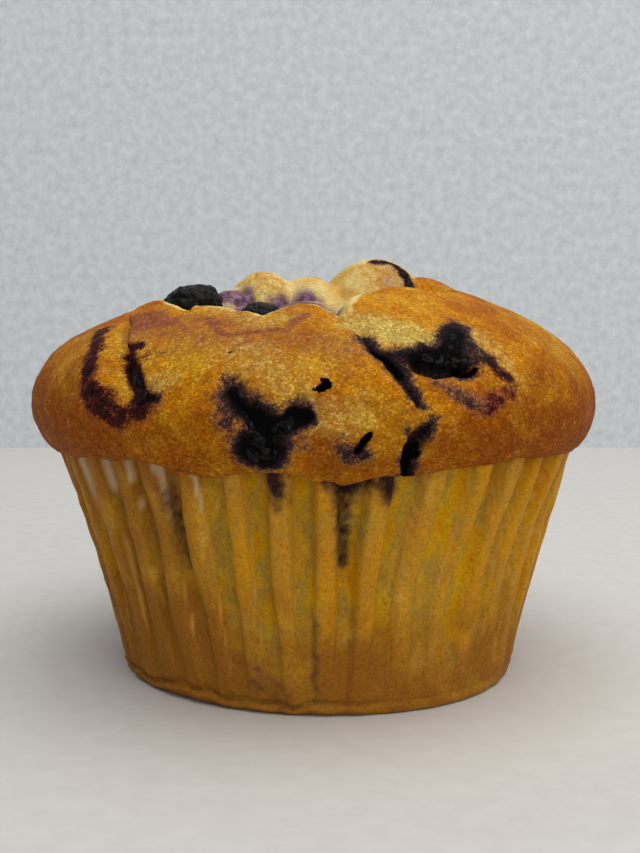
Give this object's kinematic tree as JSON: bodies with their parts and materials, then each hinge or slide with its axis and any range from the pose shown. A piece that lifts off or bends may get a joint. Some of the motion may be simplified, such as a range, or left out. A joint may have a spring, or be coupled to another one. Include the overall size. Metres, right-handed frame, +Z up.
{
  "type": "blueberry muffin",
  "caption": "Baked muffin with a cracked domed crown and burst blueberries, standing in a pleated paper baking case.",
  "frame": {"origin": "centre of the paper case's flat base, where the muffin stands", "axes": "+Z up, -Y the front with the burst berry low on the crown, +X to the right seen from the front"},
  "size_m": [0.073, 0.0733, 0.0531],
  "materials": {
    "baked_crumb": "golden brown baked crust, matt and finely grained",
    "greaseproof_paper": "greaseproof paper, butter-stained, half clear",
    "berry_skin": "baked blueberry skin, wrinkled, dull sheen"
  },
  "bodies": {
    "root": {"cake": "baked_crumb", "paper_case": "greaseproof_paper", "berry_front": "berry_skin", "berry_right": "berry_skin", "berry_left": "berry_skin", "berry_crack": "berry_skin", "berry_rim": "berry_skin", "berry_crater": "berry_skin", "berry_back": "berry_skin", "berry_side": "berry_skin"}
  },
  "joints": []
}
